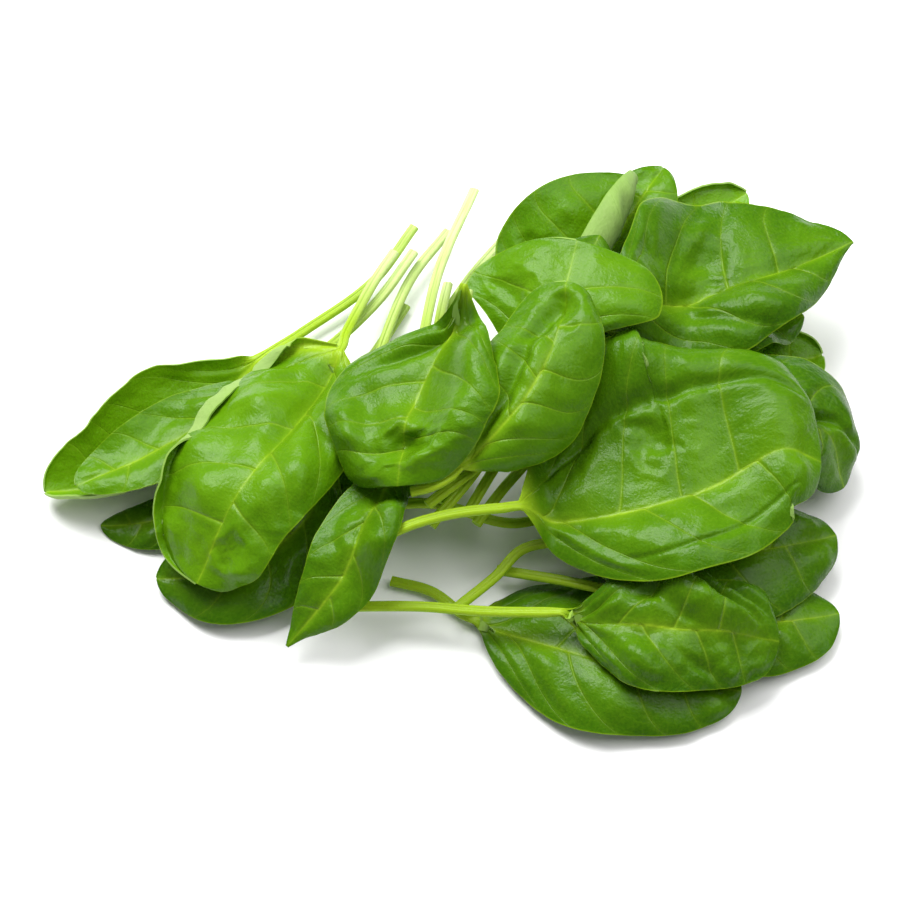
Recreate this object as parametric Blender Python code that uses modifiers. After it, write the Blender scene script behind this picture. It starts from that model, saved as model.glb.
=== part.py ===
"""A loose bunch of fresh spinach leaves lying on a flat surface.

Every leaf is one grown piece: its stalk and its blade. The leaves are laid down one after another,
lowest first, and each one comes to rest on the leaves under it. Lengths are in millimetres here and
become metres where the meshes are made. +X is to the right, +Y to the back, +Z up.
"""
import math

import bmesh
import bpy
import numpy as np

BUNCH = "spinach_bunch"
MM = 0.001

# Driving dimensions, in mm
STALK_HALF_WIDTH = 1.25     # of the stalk, seen from above
TIP_HALF_WIDTH = 0.5        # of the blade's very tip
STALK_THICKNESS = 2.1
STALK_ROUNDNESS = 0.45      # share of its thickness that the stalk loses at its sides
STALK_CROWN = 0.35          # how far the stalk's top falls towards its sides
BLADE_THICKNESS = 0.55
RIB_HALF_WIDTH = 1.4        # of the thick strip along the midrib
REST_GAP = 0.5              # between a leaf and what it rests on

# How finely a leaf is divided
STALK_CELLS = 5
BLADE_CELLS = 11
ACROSS = (-1, -0.72, -0.4, -0.1, 0.1, 0.4, 0.72, 1)
TIP_CROWDING = 1.5          # above 1, the cells get shorter towards the tip
UNROLLING = 0.06            # share of the leaf over which the blade opens to its slopes
STALK_FADE = 0.05           # share of the leaf over which the stalk's thickness ends in the blade
RIB_FADE = 1.2              # above 1, the rib thins faster near the stalk
LINE_POINTS = 400
SPAN_POINTS = 40            # between two given points of a line, before it is spaced evenly
CURL_STEPS = 24

# The height map that the leaves are laid on
CELL = 1.0
HALF_SPAN = 150
LAYING_ROUNDS = 6           # each round lifts what is still too low
WIDE_CELLS = 2              # how far sideways a leaf stays clear of a steep neighbour, in cells

# Greens, as linear colours
DEEP_GREEN = (0.035, 0.130, 0.010)
MID_GREEN = (0.065, 0.210, 0.018)
BRIGHT_GREEN = (0.130, 0.300, 0.025)
LEAF_ROUGHNESS = 0.38


class Leaf:
    """One leaf: a stalk line, a midrib line, and how the blade spreads from the midrib.

    width is the half width to the left and right of the midrib, looking from stalk to tip.
    left and right are (slope, curl, power): the slope in degrees where the blade leaves the midrib,
    how many degrees it has turned at the margin, and how late it turns. A slope or curl may be given
    for base, middle and tip. widest is where the blade is widest, tip and base say how square its
    ends are: a lower number is squarer. soft is how far around a lump below it the leaf rises, in
    cells of the height map.
    """

    def __init__(self, name, stalk, rib, width, left=(0, 0, 1), right=(0, 0, 1), widest=0.45,
                 tip=(0.5, 0.5), base=(1.2, 1.2), soft=5, colour=MID_GREEN):
        self.name, self.stalk, self.rib, self.soft, self.colour = name, stalk, rib, soft, colour
        self.width, self.widest, self.tip, self.base = width, widest, tip, base
        self.sides = [(three_values(slope), three_values(curl), power) for slope, curl, power in (left, right)]
        self.line = smooth_line([*stalk, *rib], LINE_POINTS)
        to_joint = np.linalg.norm(self.line - np.array(stalk[-1], float), axis=1)
        self.joint = float(np.argmin(to_joint)) / (len(self.line) - 1)
        self.normal, self.left_hand = self.frames()

    def frames(self):
        """Normal and left-hand directions along the line, carried from the joint without twisting."""
        tangent = np.gradient(self.line, axis=0)
        tangent /= np.linalg.norm(tangent, axis=1)[:, None]
        last = len(tangent) - 1
        start = int(round(self.joint * last))
        normal = np.zeros_like(tangent)
        normal[start] = (0, 0, 1)
        normal[start] -= tangent[start] * tangent[start][2]
        normal[start] /= np.linalg.norm(normal[start])
        for order in (range(start + 1, last + 1), range(start - 1, -1, -1)):
            before = start
            for i in order:
                carried = normal[before] - tangent[i] * (normal[before] @ tangent[i])
                normal[i] = carried / np.linalg.norm(carried)
                before = i
        return normal, np.cross(normal, tangent)

    def stations(self):
        """Places along the leaf, from 0 at the cut end to 1 at the tip, closer near the tip."""
        stalk = np.linspace(0, self.joint, STALK_CELLS + 1)[:-1]
        blade = 1 - np.linspace(1, 0, BLADE_CELLS + 1) ** TIP_CROWDING
        return np.concatenate([stalk, self.joint + (1 - self.joint) * blade])

    def blade_share(self, t):
        """0 on the stalk, rising to 1 at the tip of the blade."""
        return np.clip((t - self.joint) / (1 - self.joint), 0, 1)

    def half_width(self, t, side):
        s = self.blade_share(t)
        wave = np.sin(math.pi * s ** (math.log(0.5) / math.log(self.widest))).clip(0, 1)
        blade = self.width[side] * wave ** np.where(s < self.widest, self.base[side], self.tip[side])
        stalk = STALK_HALF_WIDTH * (1 - s) + TIP_HALF_WIDTH * s
        return (stalk ** 3 + blade ** 3) ** (1 / 3)

    def surface(self):
        """Upper face as a grid of points, and the thickness under each one."""
        t = self.stations()
        s = self.blade_share(t)
        unrolled = np.clip((t - self.joint) / UNROLLING + 0.5, 0, 1)
        places = np.linspace(0, 1, len(self.line))
        centre, normal, left_hand = (
            np.stack([np.interp(t, places, table[:, k]) for k in range(3)], axis=1)
            for table in (self.line, self.normal, self.left_hand))
        points = np.zeros((len(t), len(ACROSS), 3))
        lateral = np.zeros((len(t), len(ACROSS)))
        for column, q in enumerate(ACROSS):
            side, sign = (0, 1) if q > 0 else (1, -1)
            slope, curl, power = self.sides[side]
            width = self.half_width(t, side)
            reach = (np.arange(CURL_STEPS) + 0.5) / CURL_STEPS * abs(q)
            turn = along(curl, s)[:, None] * reach[None, :] ** power
            angle = np.radians((along(slope, s)[:, None] + turn) * unrolled[:, None])
            out = sign * np.cos(angle).mean(1) * width * abs(q)
            rise = np.sin(angle).mean(1) * width * abs(q)
            points[:, column] = centre + left_hand * out[:, None] + normal * rise[:, None]
            lateral[:, column] = width * q
        stalk = np.clip((self.joint - t) / STALK_FADE + 1, 0, 1)[:, None]
        on_stalk = stalk * (1 - STALK_ROUNDNESS * np.square(ACROSS))
        on_rib = (1 - s)[:, None] ** RIB_FADE * np.exp(-np.square(lateral / RIB_HALF_WIDTH))
        thick = BLADE_THICKNESS + (STALK_THICKNESS - BLADE_THICKNESS) * np.maximum(on_stalk, on_rib)
        crown = STALK_CROWN * stalk * np.square(ACROSS)
        return points - normal[:, None, :] * crown[..., None], thick


def three_values(value):
    """The value at the blade's base, middle and tip."""
    return tuple(value) if isinstance(value, (tuple, list)) else (value, value, value)


def along(values, s):
    """A quadratic through the base, middle and tip values."""
    base, middle, tip = values
    return base * (1 - s) * (1 - 2 * s) + 4 * middle * s * (1 - s) + tip * s * (2 * s - 1)


def smooth_line(points, count):
    """Evenly spaced points on a centripetal Catmull-Rom curve through the given ones."""
    p = np.array(points, float)
    p = np.vstack([2 * p[0] - p[1], p, 2 * p[-1] - p[-2]])
    dense = []
    for a, b, c, d in zip(p, p[1:], p[2:], p[3:]):
        t1 = np.linalg.norm(b - a) ** 0.5
        t2 = t1 + np.linalg.norm(c - b) ** 0.5
        t3 = t2 + np.linalg.norm(d - c) ** 0.5
        for t in np.linspace(t1, t2, SPAN_POINTS, endpoint=False):
            ab = (a * (t1 - t) + b * t) / t1
            bc = (b * (t2 - t) + c * (t - t1)) / (t2 - t1)
            cd = (c * (t3 - t) + d * (t - t2)) / (t3 - t2)
            abc = (ab * (t2 - t) + bc * t) / t2
            bcd = (bc * (t3 - t) + cd * (t - t1)) / (t3 - t1)
            dense.append((abc * (t2 - t) + bcd * (t - t1)) / (t2 - t1))
    dense = np.array([*dense, p[-2]])
    run = np.concatenate([[0], np.cumsum(np.linalg.norm(np.diff(dense, axis=0), axis=1))])
    even = np.linspace(0, run[-1], count)
    return np.stack([np.interp(even, run, dense[:, k]) for k in range(3)], axis=1)


class Pile:
    """A height map of what has been laid so far."""

    def __init__(self):
        self.top = np.zeros((2 * HALF_SPAN, 2 * HALF_SPAN))

    def lay(self, points, thick, soft):
        """Move a leaf's upper face down, then bend it upwards until it clears the leaves below.

        soft is how far around a lump the leaf is lifted, in cells.
        """
        points = points + [0, 0, min(self.missing(points, thick).max(), 0)]
        for _ in range(LAYING_ROUNDS):
            missing = np.maximum(self.missing(points, thick), 0)
            lift = softened(widened(missing, soft), soft)
            points[..., 2] += sampled(lift, points)
        face = refined(points)
        np.maximum.at(self.top, cells(face), face[..., 2].ravel())
        return points

    def missing(self, points, thick):
        """How far each cell of the leaf's lower face is below where it may be."""
        under = points - face_normals(points) * thick[..., None]
        lowest = np.full(self.top.shape, np.inf)
        for face in (refined(points), refined(under)):
            np.minimum.at(lowest, cells(face), face[..., 2].ravel())
        clear = widened(self.top, WIDE_CELLS)
        return np.where(np.isfinite(lowest), clear + REST_GAP * (clear > 0) - lowest, -np.inf)


def face_normals(points):
    normal = np.cross(np.gradient(points, axis=0), np.gradient(points, axis=1))
    return normal / np.linalg.norm(normal, axis=2)[..., None]


def refined(points, parts=4):
    """The grid with each cell divided, so that no cell of the height map is missed."""
    for axis in (0, 1):
        at = np.linspace(0, points.shape[axis] - 1, (points.shape[axis] - 1) * parts + 1)
        low = np.minimum(at.astype(int), points.shape[axis] - 2)
        share = (at - low).reshape([-1 if k == axis else 1 for k in range(3)])
        points = np.take(points, low, axis) * (1 - share) + np.take(points, low + 1, axis) * share
    return points


def cells(points):
    index = np.floor(points[..., :2] / CELL).astype(int) + HALF_SPAN
    return index[..., 0].ravel(), index[..., 1].ravel()


def around(height, radius):
    """The map moved by each whole step within the radius, with the step's distance."""
    edge = int(radius)
    padded = np.pad(height, edge)
    size = height.shape
    for i in range(-edge, edge + 1):
        for j in range(-edge, edge + 1):
            if i * i + j * j <= radius * radius:
                yield i * i + j * j, padded[edge + i:edge + i + size[0], edge + j:edge + j + size[1]]


def widened(height, radius):
    return np.maximum.reduce([moved for _, moved in around(height, radius)])


def softened(height, radius):
    total, weight = 0, 0
    for square, moved in around(height, radius):
        share = 1 - square / (radius + 1) ** 2
        total, weight = total + share * moved, weight + share
    return total / weight


def sampled(height, points):
    x, y = (points[..., k] / CELL + HALF_SPAN - 0.5 for k in (0, 1))
    i, j = x.astype(int), y.astype(int)
    fx, fy = x - i, y - j
    low = height[i, j] * (1 - fy) + height[i, j + 1] * fy
    high = height[i + 1, j] * (1 - fy) + height[i + 1, j + 1] * fy
    return low * (1 - fx) + high * fx


def bunch_leaves():
    """The leaves, lowest first."""
    return [
        Leaf("leaf_hidden_left",
             stalk=[(13, 68, 4), (3, 54, 4), (-6, 37, 4), (-14, 18, 5)],
             rib=[(-21, -1, 7), (-28, -18, 7), (-34, -30, 4)],
             width=(13, 13), left=(-6, -25, 1.5), right=(-6, -25, 1.5), colour=DEEP_GREEN),
        Leaf("leaf_hidden_centre",
             stalk=[(-2, 52, 3), (-4, 40, 6), (-5, 28, 12)],
             rib=[(-8, 13, 22), (-11, -3, 25), (-13, -19, 16)],
             width=(12, 12), left=(-5, -30, 1.5), right=(-5, -30, 1.5), colour=DEEP_GREEN),
        Leaf("leaf_left_tip",
             stalk=[(-13, 46, 4), (-23, 28, 4), (-40, 4, 4), (-55, -10, 5)],
             rib=[(-67, -16, 6), (-77, -19, 5), (-89, -19, 2)],
             width=(8.5, 8.5), left=(-8, -35, 1.5), right=(-8, -30, 1.5), colour=DEEP_GREEN),
        Leaf("leaf_front_left",
             stalk=[(-2, 68, 5), (-12, 52, 5), (-22, 21, 5), (-30, -6, 6)],
             rib=[(-39, -23, 8), (-55, -36, 9), (-74, -35, 3)],
             width=(15, 15), left=(-10, -30, 1.6), right=(8, 20, 1.6), colour=DEEP_GREEN),
        Leaf("leaf_front_low",
             stalk=[(-16, -35, 3), (-6, -38, 3), (4, -46, 3)],
             rib=[(25, -56, 8), (44, -63, 10), (69, -66, 4)],
             width=(27, 18), left=(-4, -25, 1.6), right=(-10, -30, 1.6), tip=(0.45, 0.45), base=(0.6, 1.2),
             colour=DEEP_GREEN),
        Leaf("leaf_right_low",
             stalk=[(10, -34, 3), (25, -38, 3), (40, -43, 4)],
             rib=[(59, -47, 6), (76, -49, 8), (94, -45, 4)],
             width=(15, 15.5), left=(-5, -25, 1.6), right=(-8, -30, 1.6), tip=(0.42, 0.42),
             colour=DEEP_GREEN),
        Leaf("leaf_right_back",
             stalk=[(26, -5, 4), (44, 9, 4), (62, 18, 5)],
             rib=[(73, 22, 8), (84, 24, 11), (94, 27, 10)],
             width=(12, 13), left=(10, 30, 2), right=(5, 20, 1.6), tip=(0.45, 0.45), colour=BRIGHT_GREEN),
        Leaf("leaf_right_mid",
             stalk=[(0, -45, 5), (9, -38, 6), (16, -31, 7), (25, -30, 8)],
             rib=[(47, -32, 12), (69, -34, 16), (94, -26, 9)],
             width=(21, 20), left=(-5, -25, 1.6), right=(-8, -35, 1.6), tip=(0.4, 0.4), colour=DEEP_GREEN),
        Leaf("leaf_right_curly",
             stalk=[(-15, -22, 5), (-2, -22, 6), (14, -24, 7), (30, -18, 9)],
             rib=[(58, -7, 15), (77, -3, 24), (92, -4, 22), (97, -12, 8)],
             width=(23, 20), left=(0, -40, 1.6), right=(-5, -45, 1.6), tip=(0.3, 0.4), colour=DEEP_GREEN),
        Leaf("leaf_under_tip",
             stalk=[(21, 4, 5), (34, 15, 6), (49, 23, 9)],
             rib=[(64, 26, 14), (77, 29, 17), (89, 34, 15)],
             width=(12, 12), left=(0, 0, 1.6), right=(-15, -40, 1.6), tip=(0.6, 0.6), colour=DEEP_GREEN),
        Leaf("leaf_back_bright",
             stalk=[(5, -27, 4), (25, 3, 6), (39, 31, 9)],
             rib=[(50, 49, 14), (63, 62, 18), (76, 70, 19)],
             width=(12, 14), left=(10, 30, 1.6), right=(5, 0, 1.6), tip=(0.55, 0.55), colour=BRIGHT_GREEN),
        Leaf("leaf_back_top",
             stalk=[(3, -25, 4), (21, 9, 6), (34, 40, 10)],
             rib=[(42, 54, 16), (49, 66, 22), (54, 74, 24)],
             width=(12, 13), left=(5, 20, 1.6), right=(-5, -30, 1.6)),
        Leaf("leaf_back_folded",
             stalk=[(-4, -23, 5), (6, -9, 7), (16, 14, 10), (21, 27, 13)],
             rib=[(28, 41, 19), (36, 55, 26), (45, 69, 28)],
             width=(21, 25), left=(10, 10, 1.6), right=(25, 165, 1.6), tip=(0.7, 0.45), base=(0.8, 0.8)),
        Leaf("leaf_hidden_arch",
             stalk=[(-6, -30, 6), (4, -18, 9), (12, -6, 13)],
             rib=[(20, 10, 20), (28, 26, 26), (36, 42, 22)],
             width=(14, 16), left=(-5, -30, 1.5), right=(-5, -40, 1.5), colour=DEEP_GREEN),
        Leaf("leaf_big_right",
             stalk=[(-7, -27, 5), (10, -13, 8), (26, 8, 12), (33, 19, 14)],
             rib=[(56, 30, 22), (79, 39, 27), (102, 52, 23)],
             width=(28, 20), left=(-3, -8, 1.6), right=(-6, -25, 1.6), tip=(0.55, 1.0), base=(2.2, 0.7),
             soft=10),
        Leaf("leaf_low_crinkled",
             stalk=[(-27, -45, 8), (-9, -46, 9), (10, -48, 9), (25, -50, 11)],
             rib=[(36, -53, 15), (55, -56, 17), (78, -56, 8)],
             width=(19, 15.5), left=(-5, -30, 1.6), right=(-8, -30, 1.6), tip=(0.28, 0.36)),
        Leaf("leaf_big_front",
             stalk=[(-18, -35, 6), (-4, -31, 7), (10, -29, 9), (15, -28, 10)],
             rib=[(37, -28, 20), (57, -24, 26), (79, -14, 25), (89, -15, 18)],
             width=(45, 21), left=(12, (0, -60, -60), 4), right=(-5, -30, 1.6), tip=(0.4, 0.3),
             base=(0.9, 1.1), soft=12),
        Leaf("leaf_far_left",
             stalk=[(-11, 69, 6), (-22, 52, 5), (-40, 37, 4), (-51, 28, 4)],
             rib=[(-66, 12, 1), (-86, -6, 2), (-103, -11, 4)],
             width=(18, 20), left=(20, 60, 1.3), right=(15, 55, 1.3), tip=(0.42, 0.42),
             colour=BRIGHT_GREEN),
        Leaf("leaf_far_left_inner",
             stalk=[(-11, 59, 9), (-20, 44, 9), (-34, 27, 9), (-48, 16, 10)],
             rib=[(-62, 4, 11), (-79, -7, 12), (-94, -14, 9)],
             width=(10, 12), left=(-5, 0, 1.3), right=(5, 25, 1.3), tip=(0.45, 0.45)),
        Leaf("leaf_left_oval",
             stalk=[(-16, 57, 12), (-22, 46, 12), (-28, 29, 14), (-29, 22, 16)],
             rib=[(-41, -5, 27), (-54, -26, 27), (-63, -41, 12)],
             width=(18, 29), left=(-5, -40, 1.6), right=(-5, -35, 1.6), tip=(0.26, 0.26),
             base=(0.7, 0.34)),
        Leaf("leaf_narrow",
             stalk=[(5, 78, 8), (-4, 49, 9), (-10, 10, 14), (-14, -10, 18)],
             rib=[(-20, -28, 21), (-28, -44, 19), (-41, -55, 6)],
             width=(10, 11), left=(-10, -40, 1.6), right=(15, -20, 1.6), tip=(0.8, 0.8), base=(0.9, 0.9)),
        Leaf("leaf_arched",
             stalk=[(-8, -18, 10), (3, -18, 13), (10, -13, 16)],
             rib=[(18, 3, 25), (25, 19, 36), (30, 38, 38)],
             width=(25, 25), left=(0, 10, 1.6), right=((-10, -8, -5), (-40, -50, -20), 1.4), widest=0.78,
             tip=(0.4, 0.3), base=(1.0, 2.2), soft=8),
        Leaf("leaf_s_curve",
             stalk=[(-11, -26, 15), (-5, -25, 16), (1, -21, 17)],
             rib=[(14, -11, 30), (23, 5, 41), (27, 24, 42)],
             width=(17, 14), left=(0, 10, 1.6), right=(-5, -60, 1.6), widest=0.5, tip=(0.32, 0.32),
             base=(0.8, 0.5), soft=8),
        Leaf("leaf_centre",
             stalk=[(3, 28, 36), (2, 23, 35)],
             rib=[(-6, 7, 35), (-12, -9, 32), (-14, -26, 17)],
             width=(22, 24), left=(-5, -35, 1.6), right=(-5, -35, 1.6), widest=0.5, tip=(0.26, 0.26),
             base=(0.8, 1.4)),
    ]


def leaf_material(leaf):
    material = bpy.data.materials.new(leaf.name)
    material.use_nodes = True
    shader = material.node_tree.nodes["Principled BSDF"]
    shader.inputs["Base Color"].default_value = (*leaf.colour, 1)
    shader.inputs["Roughness"].default_value = LEAF_ROUGHNESS
    shader.inputs["Metallic"].default_value = 0
    return material


def leaf_object(leaf, points, thick, collection, bunch):
    """A grid bent into the leaf's upper face, with the leaf's thickness given below it."""
    rows, columns = thick.shape
    grid = bmesh.new()
    bmesh.ops.create_grid(grid, x_segments=rows - 1, y_segments=columns - 1, size=1)
    mesh = bpy.data.meshes.new(leaf.name)
    grid.to_mesh(mesh)
    grid.free()
    obj = bpy.data.objects.new(leaf.name, mesh)
    obj.location = points[0, columns // 2] * MM
    collection.objects.link(obj)
    obj.parent = bunch
    group = obj.vertex_groups.new(name="thickness")
    share = (thick - BLADE_THICKNESS) / (STALK_THICKNESS - BLADE_THICKNESS)
    for vertex in mesh.vertices:
        row = round((vertex.co.x + 1) / 2 * (rows - 1))
        column = round((vertex.co.y + 1) / 2 * (columns - 1))
        vertex.co = (points[row, column] - points[0, columns // 2]) * MM
        group.add([vertex.index], float(share[row, column]), "REPLACE")
    mesh.shade_smooth()
    mesh.materials.append(leaf_material(leaf))
    solid = obj.modifiers.new("thickness", "SOLIDIFY")
    solid.thickness = STALK_THICKNESS * MM
    solid.offset = -1
    solid.vertex_group = group.name
    solid.thickness_vertex_group = BLADE_THICKNESS / STALK_THICKNESS
    return obj


def main():
    for obj in list(bpy.data.objects):
        bpy.data.objects.remove(obj)
    collection = bpy.data.collections.new(BUNCH)
    bpy.context.scene.collection.children.link(collection)
    bunch = bpy.data.objects.new("bunch_centre", None)
    collection.objects.link(bunch)
    pile = Pile()
    for leaf in bunch_leaves():
        points, thick = leaf.surface()
        leaf_object(leaf, pile.lay(points, thick, leaf.soft), thick, collection, bunch)


main()
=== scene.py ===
"""A loose bunch of fresh spinach leaves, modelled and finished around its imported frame.

Every leaf is one grown piece. Its outline, its bends and its curled margins come from a stalk line,
a midrib line and a few widths and angles; veins, puckered panels and dents are then raised on it, and
it is laid on the leaves below. Leaf shapes are given in millimetres in the frame's own axes.
"""
import math

import bpy
import numpy as np
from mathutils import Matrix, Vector


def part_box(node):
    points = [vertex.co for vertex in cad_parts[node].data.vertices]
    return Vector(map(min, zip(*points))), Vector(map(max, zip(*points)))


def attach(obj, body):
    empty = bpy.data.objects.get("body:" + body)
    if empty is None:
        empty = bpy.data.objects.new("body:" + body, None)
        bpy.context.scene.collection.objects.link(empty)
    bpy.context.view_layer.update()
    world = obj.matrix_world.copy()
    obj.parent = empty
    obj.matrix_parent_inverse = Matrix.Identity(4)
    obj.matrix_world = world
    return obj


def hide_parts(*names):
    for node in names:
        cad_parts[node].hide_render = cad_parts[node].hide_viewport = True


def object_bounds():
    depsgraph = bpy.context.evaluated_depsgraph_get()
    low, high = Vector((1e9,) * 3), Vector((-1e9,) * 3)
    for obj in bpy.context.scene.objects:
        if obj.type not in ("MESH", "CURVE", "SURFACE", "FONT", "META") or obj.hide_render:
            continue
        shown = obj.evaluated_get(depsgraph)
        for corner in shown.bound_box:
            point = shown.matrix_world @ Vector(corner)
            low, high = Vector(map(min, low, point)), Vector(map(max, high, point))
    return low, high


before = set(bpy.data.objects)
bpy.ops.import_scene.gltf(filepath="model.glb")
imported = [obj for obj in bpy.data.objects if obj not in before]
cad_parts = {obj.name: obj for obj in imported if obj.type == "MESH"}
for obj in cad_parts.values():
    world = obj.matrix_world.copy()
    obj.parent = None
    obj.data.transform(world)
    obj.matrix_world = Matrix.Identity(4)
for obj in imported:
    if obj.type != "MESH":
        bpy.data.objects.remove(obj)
CAD_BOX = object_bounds()

bl_info = {
    "name": "Spinach Bunch",
    "version": (1, 0, 0),
    "blender": (4, 5, 0),
    "location": "View3D > Sidebar > Spinach",
    "description": "Models a loose bunch of spinach leaves and its studio stage",
    "category": "Object",
}

MM = 0.001

# Leaf body, in mm
STALK_HALF_WIDTH = 1.35
TIP_HALF_WIDTH = 0.5
STALK_CROWN = 1.0           # how far the stalk's sides drop below its top
STALK_GROOVE_DEPTH, STALK_GROOVE_WIDTH = 0.22, 0.45
RIB_DEPTH = 1.05            # of the rib under the stalk and the blade's base
SIDE_RIB_DEPTH = 0.25       # of the ribs under the side veins
CUT_EDGE = 0.1              # thickness left at the stalk's sides
REST_GAP = 0.5
SIDE_VEINS = 4              # on each half of a blade

# Relief of a blade's upper face, in mm; a size is how wide the lumps are
PANEL_HEIGHT = 0.85
VEIN_DEPTH, VEIN_WIDTH = 0.24, 0.6
BUCKLE_HEIGHT, BUCKLE_SIZE = 0.8, 24.0
WRINKLE_HEIGHT, WRINKLE_SIZE = 0.13, 8.0
CREASE_HEIGHT, CREASE_SIZE = 0.05, 7.5
GRAIN_HEIGHT, GRAIN_SIZE = 0.035, 2.8
MARGIN_HEIGHT, MARGIN_SIZE = 0.5, 20.0
MIDRIB_DEPTH, MIDRIB_WIDTH = 0.3, 0.7
HOLLOW_DEPTH, HOLLOW_WIDTH = 1.1, 4.0

# Mesh density, in mm per cell
ALONG_CELL = 0.6
ACROSS_CELL = 0.55
STALK_CELLS = 36
RADIAL_STEPS = 120

# Height map that the leaves are laid on
CELL = 1.0
HALF_SPAN = 150
LAYING_ROUNDS = 6
WIDE_CELLS = 2
STRAY = 12.0                # how far a finished leaf's box may differ from its frame node's, in mm

UV_MM = 200.0               # millimetres in one unit of the leaf's UV map

# Stage: the softboxes' places are from the camera's target, in metres
KEY_OFFSET, KEY_SIZE = (-0.26, 0.50, 0.86), 0.70
FILL_OFFSET, FILL_SIZE, FILL_SHARE = (0.50, 0.10, 0.95), 0.90, 0.40
TARGET_FORWARD, TARGET_HEIGHT = 4.3 * MM, 12 * MM
FLOOR_SIZE, FLOOR_DROP = 6, 0.3 * MM
LENS, SENSOR_WIDTH = 111.3, 36


# ---------------------------------------------------------------------------------------------
# Leaf shapes
# ---------------------------------------------------------------------------------------------

class Leaf:
    """One leaf: a stalk line, a midrib line, and how the blade spreads from the midrib.

    width is the half width to the left and right of the midrib, looking from stalk to tip.
    left and right are (slope, curl, power): the slope in degrees where the blade leaves the midrib,
    how many degrees it has turned at the margin, and how late it turns. roll_left and roll_right
    are (degrees, start): an extra turn of the margin, from the start outwards. Slope, curl and roll
    may be given for base, middle and tip. widest is where the blade is widest; tip and base say how
    square its ends are. dents are (share of length, share of width, radius, depth); valleys are
    (from, to, width, depth) with from and to as (share of length, share of width).
    pucker scales the panels between the veins and crinkle the fine wrinkles. tone sets how light the
    leaf's green is: partly its own shade, partly painted light and shade, darker on the low and
    right-hand leaves and lighter, yellower on the back and upper left-hand ones. pale sets how whitish
    the cut end of the stalk is: partly its own paler colour, partly a painted highlight. soft is how many
    cells its bends are spread over when it is laid.
    """

    def __init__(self, name, stalk, rib, width, left=(0, 0, 1), right=(0, 0, 1), widest=0.45,
                 tip=(0.5, 0.5), base=(1.2, 1.2), roll_left=(0, 0.85), roll_right=(0, 0.85), dents=(),
                 valleys=(), pucker=1.0, crinkle=1.0, tone=0.5, pale=0.0, soft=5, seed=1):
        self.name, self.stalk, self.rib = name, stalk, rib
        self.width, self.widest, self.tip, self.base = width, widest, tip, base
        self.sides = [(three_values(slope), three_values(curl), power, three_values(roll), start)
                      for (slope, curl, power), (roll, start) in ((left, roll_left), (right, roll_right))]
        self.dents, self.valleys, self.pucker, self.crinkle = dents, valleys, pucker, crinkle
        self.tone, self.pale, self.soft, self.seed = tone, pale, soft, seed
        self.line = smooth_line([*stalk, *rib], 400)
        to_joint = np.linalg.norm(self.line - np.array(stalk[-1], float), axis=1)
        self.joint = float(np.argmin(to_joint)) / (len(self.line) - 1)
        self.length = float(np.linalg.norm(np.diff(self.line, axis=0), axis=1).sum())
        self.normal, self.left_hand = self.frames()

    def frames(self):
        """Normal and left-hand directions along the line, carried from the joint without twisting."""
        tangent = np.gradient(self.line, axis=0)
        tangent /= np.linalg.norm(tangent, axis=1)[:, None]
        last = len(tangent) - 1
        start = int(round(self.joint * last))
        normal = np.zeros_like(tangent)
        normal[start] = (0, 0, 1)
        normal[start] -= tangent[start] * tangent[start][2]
        normal[start] /= np.linalg.norm(normal[start])
        for order in (range(start + 1, last + 1), range(start - 1, -1, -1)):
            before = start
            for i in order:
                carried = normal[before] - tangent[i] * (normal[before] @ tangent[i])
                normal[i] = carried / np.linalg.norm(carried)
                before = i
        return normal, np.cross(normal, tangent)

    def stations(self):
        """Places of the rows, as shares of the line's length."""
        blade_length = self.length * (1 - self.joint)
        cells = max(40, int(blade_length / ALONG_CELL))
        stalk = np.linspace(0, self.joint, STALK_CELLS + 1)[:-1]
        blade = 1 - np.linspace(1, 0, cells + 1) ** 1.5
        return np.concatenate([stalk, self.joint + (1 - self.joint) * blade])

    def across(self):
        """Places from -1 at the right margin to 1 at the left one, closer at the midrib."""
        cells = max(40, 2 * int(sum(self.width) / ACROSS_CELL / 2))
        x = np.linspace(-1, 1, cells + 1)
        return x * (0.75 + 0.25 * x * x)

    def half_width(self, s, side):
        """Half width on one side (0 left, 1 right) at the shares s of the blade's length."""
        wave = np.sin(math.pi * s ** (math.log(0.5) / math.log(self.widest))).clip(0, 1)
        blade = self.width[side] * wave ** np.where(s < self.widest, self.base[side], self.tip[side])
        blade *= 1 + 0.008 * waves(self.seed + 40 + side, 16.0, s * 60, s * 0)
        stalk = STALK_HALF_WIDTH * (1 - s) + TIP_HALF_WIDTH * s
        return (stalk ** 3 + blade ** 3) ** (1 / 3)


def three_values(value):
    """The value at the blade's base, middle and tip."""
    return tuple(value) if isinstance(value, (tuple, list)) else (value, value, value)


def along(values, s):
    """A quadratic through the base, middle and tip values."""
    base, middle, tip = values
    return base * (1 - s) * (1 - 2 * s) + 4 * middle * s * (1 - s) + tip * s * (2 * s - 1)


def ease(x, low, high):
    x = np.clip((x - low) / (high - low), 0, 1)
    return x * x * (3 - 2 * x)


def bell(distance, width):
    """1 at distance 0, falling smoothly to 0 past the width."""
    return np.exp(-(distance / width) ** 2)


def waves(seed, size, a, b, count=7):
    """Smooth noise of about -1 to 1 whose lumps are about size across, from a few plane waves."""
    chance = np.random.default_rng(seed)
    total = 0
    for _ in range(count):
        turn, shift = chance.uniform(0, 2 * math.pi, 2)
        rate = 2 * math.pi / size * chance.uniform(0.6, 1.4)
        total = total + np.sin(rate * (a * math.cos(turn) + b * math.sin(turn)) + shift)
    return total / math.sqrt(count) / 1.2


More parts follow.
